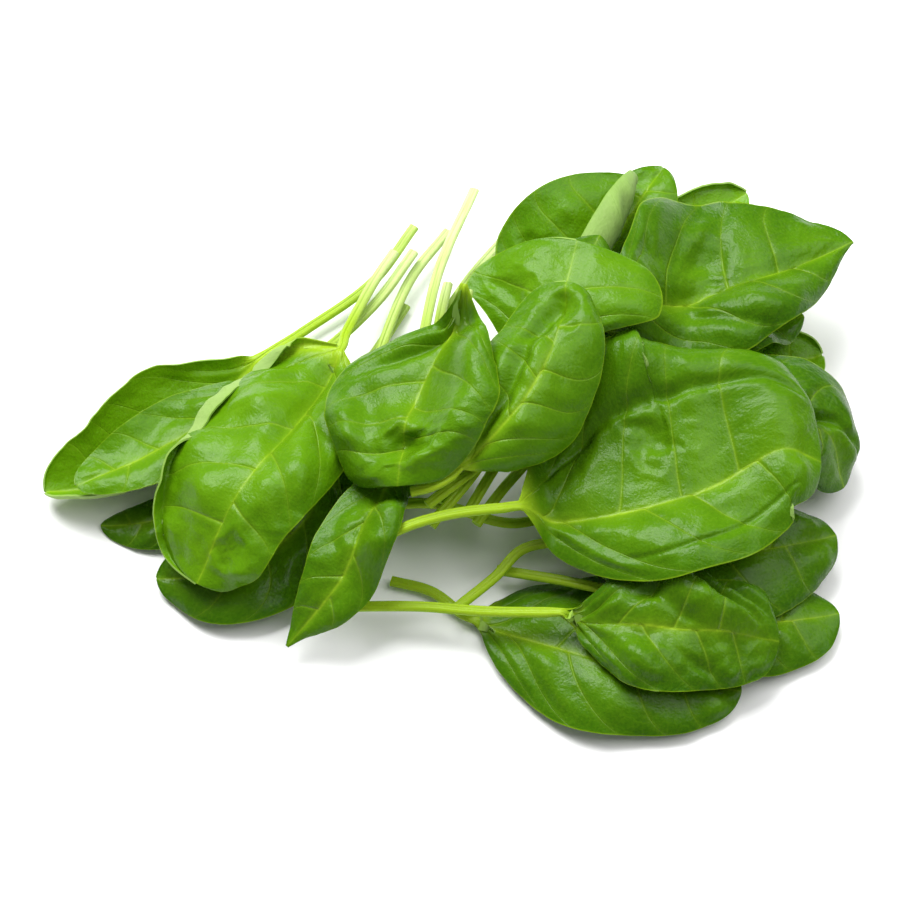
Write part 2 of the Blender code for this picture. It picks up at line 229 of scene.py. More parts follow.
def smooth_line(points, count):
    """Evenly spaced points on a centripetal Catmull-Rom curve through the given ones."""
    p = np.array(points, float)
    p = np.vstack([2 * p[0] - p[1], p, 2 * p[-1] - p[-2]])
    dense = []
    for a, b, c, d in zip(p, p[1:], p[2:], p[3:]):
        t1 = np.linalg.norm(b - a) ** 0.5
        t2 = t1 + np.linalg.norm(c - b) ** 0.5
        t3 = t2 + np.linalg.norm(d - c) ** 0.5
        for t in np.linspace(t1, t2, 40, endpoint=False):
            ab = (a * (t1 - t) + b * t) / t1
            bc = (b * (t2 - t) + c * (t - t1)) / (t2 - t1)
            cd = (c * (t3 - t) + d * (t - t2)) / (t3 - t2)
            abc = (ab * (t2 - t) + bc * t) / t2
            bcd = (bc * (t3 - t) + cd * (t - t1)) / (t3 - t1)
            dense.append((abc * (t2 - t) + bcd * (t - t1)) / (t2 - t1))
    dense = np.array([*dense, p[-2]])
    run = np.concatenate([[0], np.cumsum(np.linalg.norm(np.diff(dense, axis=0), axis=1))])
    even = np.linspace(0, run[-1], count)
    return np.stack([np.interp(even, run, dense[:, k]) for k in range(3)], axis=1)


def side_columns(q, side):
    """The columns on the left (0) or the right (1) of the midrib."""
    return np.where(q > 0 if side == 0 else q <= 0)[0]


def bare_sheet(leaf, t, q):
    """The leaf's upper face before any relief.

    Also how far each point is from the midrib, in mm, and each row's share of the blade's length.
    """
    s = np.clip((t - leaf.joint) / (1 - leaf.joint), 0, 1)
    unrolled = np.clip((t - leaf.joint) / 0.06 + 0.5, 0, 1)[:, None]
    places = np.linspace(0, 1, len(leaf.line))
    centre, normal, left_hand = (
        np.stack([np.interp(t, places, table[:, k]) for k in range(3)], axis=1)
        for table in (leaf.line, leaf.normal, leaf.left_hand))
    points = np.zeros((len(t), len(q), 3))
    lateral = np.zeros((len(t), len(q)))
    reach = (np.arange(RADIAL_STEPS) + 0.5) / RADIAL_STEPS
    rows = np.arange(len(t))
    for side, sign in ((0, 1), (1, -1)):
        columns = side_columns(q, side)
        slope, curl, power, roll, start = leaf.sides[side]
        width = leaf.half_width(s, side)
        turn = along(curl, s)[:, None] * reach[None, :] ** power
        rolled = np.clip(along(roll, s), 0, None) if max(roll) > 0 else np.clip(along(roll, s), None, 0)
        turn = turn + rolled[:, None] * ease(reach, start, start + 0.08)[None, :]
        angle = np.radians((along(slope, s)[:, None] + turn) * unrolled)
        out, rise = (np.concatenate([np.zeros((len(t), 1)), np.cumsum(step, axis=1)], axis=1) / RADIAL_STEPS
                     for step in (np.cos(angle), np.sin(angle)))
        for column in columns:
            at = abs(q[column]) * RADIAL_STEPS
            low = min(int(at), RADIAL_STEPS - 1)
            share = at - low
            o = (out[rows, low] * (1 - share) + out[rows, low + 1] * share) * width * sign
            r = (rise[rows, low] * (1 - share) + rise[rows, low + 1] * share) * width
            points[:, column] = centre + left_hand * o[:, None] + normal * r[:, None]
            lateral[:, column] = width * q[column]
    return points, lateral, s


def from_nearest_vein(phase, spacing):
    """The share of the way from one side vein to the next, and the distance to the nearer, in mm."""
    part = phase - np.floor(phase)
    return part, np.minimum(part, 1 - part) * spacing


def vein_phase(leaf, s, q, along_mm, lateral):
    """Counts the side veins from base to tip: a whole number on each vein. Also their spacing, in mm."""
    chance = np.random.default_rng(leaf.seed + 7)
    reach = np.abs(q)[None, :]
    wander = 0.022 * waves(leaf.seed + 3, 34.0, along_mm, lateral)
    forward = 0.30 * reach + 0.10 * reach ** 4
    start = (s[:, None] + wander - forward) / (1 - forward)
    phase = np.zeros_like(start)
    spacing = np.zeros_like(start)
    blade_length = leaf.length * (1 - leaf.joint)
    for side in (0, 1):
        columns = side_columns(q, side)
        roots = 0.05 + 0.07 * side + 0.86 * (np.arange(SIDE_VEINS) / SIDE_VEINS) ** 0.9
        roots = roots + chance.uniform(-0.018, 0.018, SIDE_VEINS)
        roots = np.concatenate([[-0.8, roots[0] - 0.16], roots, [1.02, 1.6]])
        marks = np.arange(len(roots), dtype=float)
        x = start[:, columns]
        phase[:, columns] = np.interp(x, roots, marks)
        step = np.interp(x, (roots[1:] + roots[:-1]) / 2, np.diff(roots))
        spacing[:, columns] = step * blade_length * 0.75
    return phase, spacing


def relief(leaf, t, s, q, lateral):
    """How far the upper face stands off the bare sheet, in mm, with its vein coordinates and dents."""
    along_mm = (t * leaf.length)[:, None] + 0 * lateral
    reach = np.abs(q)[None, :] + 0 * lateral
    share = s[:, None] + 0 * lateral
    phase, spacing = vein_phase(leaf, s, q, along_mm, lateral)
    part, from_vein = from_nearest_vein(phase, spacing)
    on_blade = ease(share, 0.0, 0.07) * (1 - ease(share, 0.93, 1.0))
    panel = np.floor(phase) + np.where(lateral > 0, 0, 50)
    lively = 0.75 + 0.45 * np.sin(panel * 2.4 + leaf.seed * 1.7)
    puffed = np.sin(math.pi * part) ** 2 * ease(reach, 0.0, 0.3) * (1 - ease(reach, 0.65, 1.0))
    puffed = puffed * (0.7 + 0.5 * waves(leaf.seed + 9, 17.0, along_mm, lateral))
    height = PANEL_HEIGHT * leaf.pucker * lively * puffed
    height -= VEIN_DEPTH * bell(from_vein, VEIN_WIDTH) * (1 - 0.85 * reach)
    buckles = waves(leaf.seed + 11, BUCKLE_SIZE, along_mm, lateral)
    height += BUCKLE_HEIGHT * leaf.pucker * buckles * ease(reach, 0.05, 0.5)
    wrinkles = waves(leaf.seed + 12, WRINKLE_SIZE, along_mm, lateral)
    height += WRINKLE_HEIGHT * leaf.crinkle * wrinkles * ease(reach, 0.02, 0.3)
    creases = 1 - 2 * np.abs(waves(leaf.seed + 13, CREASE_SIZE, along_mm, lateral))
    height += CREASE_HEIGHT * leaf.crinkle * creases
    height += GRAIN_HEIGHT * leaf.crinkle * waves(leaf.seed + 14, GRAIN_SIZE, along_mm, lateral)
    margin = waves(leaf.seed + 15, MARGIN_SIZE, along_mm, lateral * 0.2)
    height += MARGIN_HEIGHT * leaf.pucker * reach ** 4 * margin
    height -= MIDRIB_DEPTH * bell(lateral, MIDRIB_WIDTH) * (1 - 0.6 * share)
    height -= HOLLOW_DEPTH * bell(lateral, HOLLOW_WIDTH) * (1 - 0.5 * share)
    worn = np.zeros_like(height)
    blade_length = leaf.length * (1 - leaf.joint)
    for at, aside, radius, depth in leaf.dents:
        side = 0 if aside > 0 else 1
        middle = leaf.half_width(np.array([at]), side)[0] * aside
        far = np.hypot((share - at) * blade_length, lateral - middle)
        far = far * (1 + 0.22 * waves(leaf.seed + 21, 6.0, along_mm, lateral))
        bowl = bell(far, radius)
        height += -depth * bowl + 0.22 * depth * bell(far - 1.5 * radius, 0.5 * radius)
        fine = 1 - 2 * np.abs(waves(leaf.seed + 22, 3.4, along_mm, lateral))
        height += 0.09 * fine * bell(far, 1.5 * radius)
        worn = np.maximum(worn, bowl)
    for (s0, q0), (s1, q1), wide, depth in leaf.valleys:
        mean_width = 0.5 * sum(leaf.width)
        ax, ay, bx, by = s0 * blade_length, q0 * mean_width, s1 * blade_length, q1 * mean_width
        px, py = share * blade_length, np.sign(lateral) * reach * mean_width
        run = ((px - ax) * (bx - ax) + (py - ay) * (by - ay)) / ((bx - ax) ** 2 + (by - ay) ** 2)
        run = np.clip(run, 0, 1)
        far = np.hypot(px - ax - run * (bx - ax), py - ay - run * (by - ay))
        far = far * (1 + 0.15 * waves(leaf.seed + 31, 9.0, along_mm, lateral))
        height -= depth * bell(far, wide) * np.sin(math.pi * (0.12 + 0.76 * run))
    return height * on_blade, phase, spacing, worn


def leaf_faces(leaf, t, q, blade_thickness):
    """Upper and lower face of the leaf before it is laid, with its vein and colour coordinates."""
    points, lateral, s = bare_sheet(leaf, t, q)
    height, phase, spacing, worn = relief(leaf, t, s, q, lateral)
    points = points + face_normals(points) * height[..., None]
    normal = face_normals(points)
    stalk = np.clip((leaf.joint - t) / 0.05 + 1, 0, 1)[:, None] + 0 * lateral
    rib_width = STALK_HALF_WIDTH * (1 - 0.62 * s)[:, None] + 0 * lateral
    side = np.clip(np.abs(lateral) / rib_width, 0, 1)
    round_rib = np.sqrt(1 - side * side)
    soft_rib = np.exp(-1.5 * (lateral / rib_width) ** 2)
    rib = stalk * round_rib + (1 - stalk) * soft_rib
    _, from_vein = from_nearest_vein(phase, spacing)
    small_rib = bell(from_vein, VEIN_WIDTH) * (1 - 0.8 * np.abs(q)[None, :]) * (1 - stalk)
    groove = STALK_GROOVE_DEPTH * bell(lateral, STALK_GROOVE_WIDTH) * stalk
    drop = STALK_CROWN * stalk * (1 - round_rib) + groove
    rib_depth = RIB_DEPTH * (stalk + (1 - stalk) * (1 - s)[:, None] ** 1.1)
    edge = CUT_EDGE * stalk + blade_thickness * (1 - stalk)
    depth = STALK_CROWN * stalk + edge + rib_depth * rib + SIDE_RIB_DEPTH * small_rib
    upper = points - normal * drop[..., None]
    lower = points - normal * depth[..., None]
    place = np.stack([phase, np.abs(q)[None, :] + 0 * phase, spacing], axis=-1)
    look = np.stack([stalk, np.broadcast_to(s[:, None], stalk.shape), worn], axis=-1)
    # cut falls from 1 at the blade to 1 minus the leaf's pale setting at the stalk's end; low values are
    # painted in the stalk_end colour, partly the stalk's own paler end and partly a painted highlight.
    cut = np.broadcast_to((1 - leaf.pale * (1 - t / leaf.joint).clip(0, 1))[:, None], stalk.shape)
    metric = np.stack([(t * leaf.length)[:, None] + 0 * lateral, lateral], axis=-1)
    return upper, lower, place, look, cut, metric


# ---------------------------------------------------------------------------------------------
# Laying the leaves
# ---------------------------------------------------------------------------------------------

class Pile:
    """A height map of what has been laid so far."""

    def __init__(self):
        self.top = np.zeros((2 * HALF_SPAN, 2 * HALF_SPAN))

    def lay(self, upper, lower, stalk, soft):
        """Move a leaf down, then bend it upwards until it clears the leaves below.

        stalk is 1 for the rows of the stalk, which is too stiff to follow every bump, and 0 past it.
        """
        drop = min(self.missing(upper, lower).max(), 0)
        upper, lower = upper + [0, 0, drop], lower + [0, 0, drop]
        for _ in range(LAYING_ROUNDS):
            missing = np.maximum(self.missing(upper, lower), 0)
            lift = softened(widened(missing, soft), soft)
            moved = sampled(lift, (upper + lower) / 2)
            moved += (evened(moved.max(axis=1))[:, None] - moved).clip(0) * stalk[:, None]
            upper[..., 2] += moved
            lower[..., 2] += moved
        for face in (upper, lower):
            face = refined(face)
            np.maximum.at(self.top, cells(face), face[..., 2].ravel())
        return upper, lower

    def missing(self, upper, lower):
        """How far each cell of the leaf's lower face is below where it may be."""
        lowest = np.full(self.top.shape, np.inf)
        for face in (refined(upper), refined(lower)):
            np.minimum.at(lowest, cells(face), face[..., 2].ravel())
        clear = widened(self.top, WIDE_CELLS)
        return np.where(np.isfinite(lowest), clear + REST_GAP * (clear > 0) - lowest, -np.inf)


def face_normals(points):
    """Unit normals of a grid of points."""
    normal = np.cross(np.gradient(points, axis=0), np.gradient(points, axis=1))
    return normal / np.maximum(np.linalg.norm(normal, axis=2), 1e-9)[..., None]


def refined(points, parts=2):
    """The grid with each cell divided, so that no cell of the height map is missed."""
    for axis in (0, 1):
        at = np.linspace(0, points.shape[axis] - 1, (points.shape[axis] - 1) * parts + 1)
        low = np.minimum(at.astype(int), points.shape[axis] - 2)
        share = (at - low).reshape([-1 if k == axis else 1 for k in range(3)])
        points = np.take(points, low, axis) * (1 - share) + np.take(points, low + 1, axis) * share
    return points


def cells(points):
    """Which cell of the height map each point is over."""
    index = np.floor(points[..., :2] / CELL).astype(int) + HALF_SPAN
    return index[..., 0].ravel(), index[..., 1].ravel()


def around(height, radius):
    """The map moved by each whole step within the radius, with the step's distance."""
    edge = int(radius)
    padded = np.pad(height, edge)
    size = height.shape
    for i in range(-edge, edge + 1):
        for j in range(-edge, edge + 1):
            if i * i + j * j <= radius * radius:
                yield i * i + j * j, padded[edge + i:edge + i + size[0], edge + j:edge + j + size[1]]


def widened(height, radius):
    """The highest value within the radius of each cell."""
    return np.maximum.reduce([moved for _, moved in around(height, radius)])


def evened(lift, radius=12):
    """A smooth line that isn't below the given one."""
    padded = np.pad(lift, 2 * radius, mode="edge")
    high = np.lib.stride_tricks.sliding_window_view(padded, 2 * radius + 1).max(axis=1)
    return np.lib.stride_tricks.sliding_window_view(high, 2 * radius + 1).mean(axis=1)


def softened(height, radius):
    """The mean within the radius of each cell, the near cells counting most."""
    total, weight = 0, 0
    for square, moved in around(height, radius):
        share = 1 - square / (radius + 1) ** 2
        total, weight = total + share * moved, weight + share
    return total / weight


def sampled(height, points):
    """The map's value at each point, blended between its cells."""
    x, y = (points[..., k] / CELL + HALF_SPAN - 0.5 for k in (0, 1))
    i, j = x.astype(int), y.astype(int)
    fx, fy = x - i, y - j
    low = height[i, j] * (1 - fy) + height[i, j + 1] * fy
    high = height[i + 1, j] * (1 - fy) + height[i + 1, j + 1] * fy
    return low * (1 - fx) + high * fx


def ground_leaves():
    """The leaves nearest the surface, lowest first."""
    return [
        Leaf("leaf_hidden_left",
             stalk=[(13, 68, 4), (3, 54, 4), (-6, 37, 4), (-14, 18, 5)],
             rib=[(-21, -1, 7), (-28, -18, 7), (-34, -30, 4)],
             width=(13, 13), left=(-6, -25, 1.5), right=(-6, -25, 1.5), pale=0.8, tone=0.3, seed=101),
        Leaf("leaf_hidden_centre",
             stalk=[(-2, 52, 3), (-4, 40, 6), (-5, 28, 12)],
             rib=[(-8, 13, 22), (-11, -3, 25), (-13, -19, 16)],
             width=(12, 12), left=(-5, -30, 1.5), right=(-5, -30, 1.5), pale=0.8, tone=0.3, seed=102),
        Leaf("leaf_left_tip",
             stalk=[(-13, 46, 4), (-23, 28, 4), (-40, 4, 4), (-55, -10, 5)],
             rib=[(-67, -16, 6), (-77, -19, 5), (-89, -19, 2)],
             width=(8.5, 8.5), left=(-8, -35, 1.5), right=(-8, -30, 1.5), pale=0.5, tone=0.05, seed=103,
             pucker=0.6),
        Leaf("leaf_front_left",
             stalk=[(-2, 68, 5), (-12, 52, 5), (-22, 21, 5), (-30, -6, 6)],
             rib=[(-39, -23, 8), (-55, -36, 9), (-74, -35, 3)],
             width=(15, 15), left=(-10, -30, 1.6), right=(8, 20, 1.6), pale=0.8, tone=0.2, seed=104,
             pucker=0.9, dents=[(0.45, 0.4, 4, 1.0)]),
        Leaf("leaf_front_low",
             stalk=[(-16, -35, 3), (-6, -38, 3), (4, -46, 3)],
             rib=[(25, -56, 8), (44, -63, 10), (69, -66, 4)],
             width=(27, 18), left=(-4, -25, 1.6), right=(-10, -30, 1.6), tip=(0.45, 0.45), base=(0.6, 1.2),
             tone=0.28, seed=105, pucker=1.0),
        Leaf("leaf_right_low",
             stalk=[(10, -34, 3), (25, -38, 3), (40, -43, 4)],
             rib=[(59, -47, 6), (76, -49, 8), (94, -45, 4)],
             width=(15, 15.5), left=(-5, -25, 1.6), right=(-8, -30, 1.6), tip=(0.42, 0.42), pale=0.1,
             tone=0.3, seed=106, pucker=0.8),
        Leaf("leaf_right_back",
             stalk=[(26, -5, 4), (44, 9, 4), (62, 18, 5)],
             rib=[(73, 22, 8), (84, 24, 11), (94, 27, 10)],
             width=(12, 13), left=(10, 30, 2), right=(5, 20, 1.6), tip=(0.45, 0.45), pale=0.3, tone=1.1,
             seed=107, pucker=0.5, roll_left=(60, 0.7)),
        Leaf("leaf_right_mid",
             stalk=[(0, -45, 5), (9, -38, 6), (16, -31, 7), (25, -30, 8)],
             rib=[(47, -32, 12), (69, -34, 16), (94, -26, 9)],
             width=(21, 20), left=(-5, -25, 1.6), right=(-8, -35, 1.6), tip=(0.4, 0.4), tone=0.2, seed=108,
             pucker=1.1),
        Leaf("leaf_right_curly",
             stalk=[(-15, -22, 5), (-2, -22, 6), (14, -24, 7), (30, -18, 9)],
             rib=[(58, -7, 15), (77, -3, 24), (92, -4, 22), (97, -12, 8)],
             width=(23, 20), left=(0, -40, 1.6), right=(-5, -45, 1.6), tip=(0.3, 0.4), tone=0.15, seed=109,
             pucker=1.5, dents=[(0.78, 0.35, 4, 1.6)],
             valleys=[((0.35, 0.6), (0.8, 0.15), 2.0, 3.0), ((0.6, -0.2), (0.95, 0.6), 1.6, 2.4)]),
        Leaf("leaf_under_tip",
             stalk=[(21, 4, 5), (34, 15, 6), (49, 23, 9)],
             rib=[(64, 26, 14), (77, 29, 17), (89, 34, 15)],
             width=(12, 12), left=(0, 0, 1.6), right=(-15, -40, 1.6), tip=(0.6, 0.6), tone=0.3, seed=110,
             pucker=0.6),
    ]


def back_leaves():
    """The leaves at the back, lowest first."""
    return [
        Leaf("leaf_back_bright",
             stalk=[(5, -27, 4), (25, 3, 6), (39, 31, 9)],
             rib=[(50, 49, 14), (63, 62, 18), (76, 70, 19)],
             width=(12, 14), left=(10, 30, 1.6), right=(5, 0, 1.6), tip=(0.55, 0.55), tone=1.5, seed=111,
             pucker=0.6, roll_left=(70, 0.75)),
        Leaf("leaf_back_top",
             stalk=[(3, -25, 4), (21, 9, 6), (34, 40, 10)],
             rib=[(42, 54, 16), (49, 66, 22), (54, 74, 24)],
             width=(12, 13), left=(5, 20, 1.6), right=(-5, -30, 1.6), tone=0.7, seed=112, pucker=0.8),
        Leaf("leaf_back_folded",
             stalk=[(-4, -23, 5), (6, -9, 7), (16, 14, 10), (21, 27, 13)],
             rib=[(28, 41, 19), (36, 55, 26), (45, 69, 28)],
             width=(21, 25), left=(10, 10, 1.6), right=(25, 165, 1.6), tip=(0.7, 0.45), base=(0.8, 0.8),
             tone=0.75, seed=113, pucker=0.9, dents=[(0.4, 0.45, 5, 1.2)]),
        Leaf("leaf_hidden_arch",
             stalk=[(-6, -30, 6), (4, -18, 9), (12, -6, 13)],
             rib=[(20, 10, 20), (28, 26, 26), (36, 42, 22)],
             width=(14, 16), left=(-5, -30, 1.5), right=(-5, -40, 1.5), tone=0.2, seed=114),
        Leaf("leaf_big_right",
             stalk=[(-7, -27, 5), (10, -13, 8), (26, 8, 12), (33, 19, 14)],
             rib=[(56, 30, 22), (79, 39, 27), (102, 52, 23)],
             width=(28, 20), left=(-3, -8, 1.6), right=(-6, -25, 1.6), tip=(0.55, 1.0), base=(2.2, 0.7),
             soft=10, tone=0.3, seed=115, pucker=1.3, crinkle=1.3,
             dents=[(0.5, 0.35, 5, 1.2), (0.3, 0.5, 4, 0.9)],
             valleys=[((0.05, 0.0), (0.9, 0.0), 3.0, 1.8), ((0.3, -0.1), (0.55, -0.8), 2.0, 1.2)]),
    ]


def top_leaves():
    """The leaves that cover the heap, lowest first."""
    return [
        Leaf("leaf_low_crinkled",
             stalk=[(-27, -45, 8), (-9, -46, 9), (10, -48, 9), (25, -50, 11)],
             rib=[(36, -53, 15), (55, -56, 17), (78, -56, 8)],
             width=(19, 15.5), left=(-5, -30, 1.6), right=(-8, -30, 1.6), tip=(0.28, 0.36), tone=0.3,
             seed=116, pucker=1.6, crinkle=2.0, dents=[(0.35, 0.45, 4, 1.0)],
             valleys=[((0.58, 0.95), (0.9, 0.3), 1.7, 4.0), ((0.75, 0.95), (0.95, 0.45), 1.6, 3.6),
                      ((0.35, 0.5), (0.62, 0.1), 1.5, 1.2), ((0.5, -0.3), (0.75, -0.8), 1.8, 1.2)]),
        Leaf("leaf_big_front",
             stalk=[(-18, -35, 6), (-4, -31, 7), (10, -29, 9), (15, -28, 10)],
             rib=[(37, -28, 20), (57, -24, 26), (79, -14, 25), (89, -15, 18)],
             width=(45, 21), left=(12, (0, -60, -60), 4), right=(-5, -30, 1.6), tip=(0.4, 0.3),
             base=(0.9, 1.1), soft=12, tone=0.55, seed=117, pucker=1.0, crinkle=1.0,
             dents=[(0.5, 0.38, 5.5, 2.4)],
             valleys=[((0.1, 0.55), (0.9, 0.62), 1.5, 2.4), ((0.3, -0.7), (0.9, -0.6), 1.3, 0.7)]),
        Leaf("leaf_far_left",
             stalk=[(-11, 69, 6), (-22, 52, 5), (-40, 37, 4), (-51, 28, 4)],
             rib=[(-66, 12, 1), (-86, -6, 2), (-103, -11, 4)],
             width=(18, 20), left=(20, 60, 1.3), right=(15, 55, 1.3), tip=(0.42, 0.42), pale=0.5,
             tone=1.35, seed=118, pucker=0.5),
        Leaf("leaf_far_left_inner",
             stalk=[(-11, 59, 9), (-20, 44, 9), (-34, 27, 9), (-48, 16, 10)],
             rib=[(-62, 4, 11), (-79, -7, 12), (-94, -14, 9)],
             width=(10, 12), left=(-5, 0, 1.3), right=(5, 25, 1.3), tip=(0.45, 0.45), pale=0.8, tone=0.85,
             seed=119, pucker=0.6),
        Leaf("leaf_left_oval",
             stalk=[(-16, 57, 12), (-22, 46, 12), (-28, 29, 14), (-29, 22, 16)],
             rib=[(-41, -5, 27), (-54, -26, 27), (-63, -41, 12)],
             width=(18, 29), left=(-5, -40, 1.6), right=(-5, -35, 1.6), tip=(0.26, 0.26), base=(0.7, 0.34),
             pale=0.8, tone=0.95, seed=120, pucker=1.6, crinkle=1.0,
             valleys=[((0.06, 0.0), (0.5, 0.0), 2.6, 2.6)], roll_right=((195, 190, 60), 0.81),
             dents=[(0.86, 0.35, 3.5, 1.6)]),
        Leaf("leaf_narrow",
             stalk=[(5, 78, 8), (-4, 49, 9), (-10, 10, 14), (-14, -10, 18)],
             rib=[(-20, -28, 21), (-28, -44, 19), (-41, -55, 6)],
             width=(10, 11), left=(-10, -40, 1.6), right=(15, -20, 1.6), tip=(0.8, 0.8), base=(0.9, 0.9),
             pale=1.0, tone=0.5, seed=121, pucker=0.6, dents=[(0.42, 0.08, 4.0, 2.2)]),
        Leaf("leaf_arched",
             stalk=[(-8, -18, 10), (3, -18, 13), (10, -13, 16)],
             rib=[(18, 3, 25), (25, 19, 36), (30, 38, 38)],
             width=(25, 25), left=(0, 10, 1.6), right=((-10, -8, -5), (-40, -50, -20), 1.4), widest=0.78,
             tip=(0.4, 0.3), base=(1.0, 2.2), soft=8, tone=0.9, seed=122, pucker=0.6,
             dents=[(0.75, 0.55, 4, 1.4)]),
        Leaf("leaf_s_curve",
             stalk=[(-11, -26, 15), (-5, -25, 16), (1, -21, 17)],
             rib=[(14, -11, 30), (23, 5, 41), (27, 24, 42)],
             width=(17, 14), left=(0, 10, 1.6), right=(-5, -60, 1.6), widest=0.5, tip=(0.32, 0.32),
             base=(0.8, 0.5), soft=8, tone=0.75, seed=123, pucker=0.6, dents=[(0.88, 0.0, 4, 1.8)],
             valleys=[((0.92, 0.1), (0.7, 0.45), 2.2, 3.2), ((0.72, 0.45), (0.15, 0.3), 2.2, 3.8)]),
        Leaf("leaf_centre",
             stalk=[(3, 28, 36), (2, 23, 35)],
             rib=[(-6, 7, 35), (-12, -9, 32), (-14, -26, 17)],
             width=(22, 24), left=(-5, -35, 1.6), right=(-5, -35, 1.6), widest=0.5, tip=(0.26, 0.26),
             base=(0.8, 1.4), pale=0.6, tone=0.7, seed=124, pucker=0.9, dents=[(0.76, 0.05, 4.6, 2.6)],
             valleys=[((0.12, -0.1), (0.42, -0.75), 2.4, 3.0)]),
    ]


# ---------------------------------------------------------------------------------------------
# Materials
# ---------------------------------------------------------------------------------------------

class Value:
    """A shader socket that can be written in sums."""

    def __init__(self, tree, socket):
        self.tree, self.socket = tree, socket

    def math(self, operation, *others):
        return self.tree.node("ShaderNodeMath", {"operation": operation},
                              dict(enumerate((self, *others))))

    def __add__(self, other):
        return self.math("ADD", other)

    def __sub__(self, other):
        return self.math("SUBTRACT", other)

    def __mul__(self, other):
        return self.math("MULTIPLY", other)

    def __truediv__(self, other):
        return self.math("DIVIDE", other)

    def __rsub__(self, other):
        return self.tree.node("ShaderNodeMath", {"operation": "SUBTRACT"}, {0: other, 1: self})

    def __rtruediv__(self, other):
        return self.tree.node("ShaderNodeMath", {"operation": "DIVIDE"}, {0: other, 1: self})

    __radd__ = __add__
    __rmul__ = __mul__


class Shader:
    """A material's node tree, built from one call per node."""

    def __init__(self, name):
        self.material = bpy.data.materials.new(name)
        self.material.use_nodes = True
        self.nodes = self.material.node_tree.nodes
        self.links = self.material.node_tree.links
        self.nodes.clear()

    def node(self, kind, settings=None, inputs=None, output=0):
        made = self.nodes.new(kind)
        for key, setting in (settings or {}).items():
            setattr(made, key, setting)
        for key, given in (inputs or {}).items():
            socket = made.inputs[key]
            if isinstance(given, Value):
                self.links.new(given.socket, socket)
            else:
                socket.default_value = given
        return Value(self, made.outputs[output]) if len(made.outputs) else None

    def finished(self, surface):
        """The material, with the surface joined to its output."""
        self.node("ShaderNodeOutputMaterial", {}, {"Surface": surface})
        return self.material

    def mix(self, factor, first, second):
        """Mix two colours."""
        return self.node("ShaderNodeMix", {"data_type": "RGBA", "clamp_factor": True},
                         {0: factor, 6: rgba(first), 7: rgba(second)}, output=2)

    def falloff(self, distance, width):
        """1 at distance 0, falling smoothly to 0 past the width."""
        ratio = distance / width
        return (ratio * ratio * -1).math("EXPONENT")

    def between(self, value, low, high):
        """0 below low, 1 above high, smooth between."""
        return self.node("ShaderNodeMapRange", {"interpolation_type": "SMOOTHSTEP"},
                         {0: value, 1: low, 2: high, 3: 0.0, 4: 1.0})

    def noise(self, vector, scale, detail=2.0, roughness=0.5):
        return self.node("ShaderNodeTexNoise", {},
                         {"Vector": vector, "Scale": scale, "Detail": detail, "Roughness": roughness})


def rgba(colour):
    """A colour for a socket: a value as it is, or red, green and blue with full alpha."""
    return colour if isinstance(colour, Value) else (*colour, 1.0)


def leaf_coordinates(shader):
    """The attributes that every leaf carries, as values."""
    place = shader.node("ShaderNodeAttribute", {"attribute_name": "place"}, output=1)
    look = shader.node("ShaderNodeAttribute", {"attribute_name": "look"}, output=1)
    split_place = shader.node("ShaderNodeSeparateXYZ", {}, {0: place}).socket.node
    split_look = shader.node("ShaderNodeSeparateXYZ", {}, {0: look}).socket.node
    phase, reach, spacing = (Value(shader, split_place.outputs[k]) for k in range(3))
    stalk, share, worn = (Value(shader, split_look.outputs[k]) for k in range(3))
    tone = shader.node("ShaderNodeAttribute", {"attribute_name": "tone"}, output=2)
    cut = shader.node("ShaderNodeAttribute", {"attribute_name": "cut"}, output=2)
    metric = shader.node("ShaderNodeUVMap", {"uv_map": "UVMap"})
    split_metric = shader.node("ShaderNodeSeparateXYZ", {}, {0: metric}).socket.node
    lateral = Value(shader, split_metric.outputs[1]).math("ABSOLUTE") * UV_MM
    part = phase.math("FRACT")
    from_vein = part.math("MINIMUM", 1 - part) * spacing
    return {"reach": reach, "stalk": stalk, "share": share, "worn": worn, "tone": tone, "cut": cut,
            "metric": metric, "lateral": lateral, "from_vein": from_vein, "part": part}


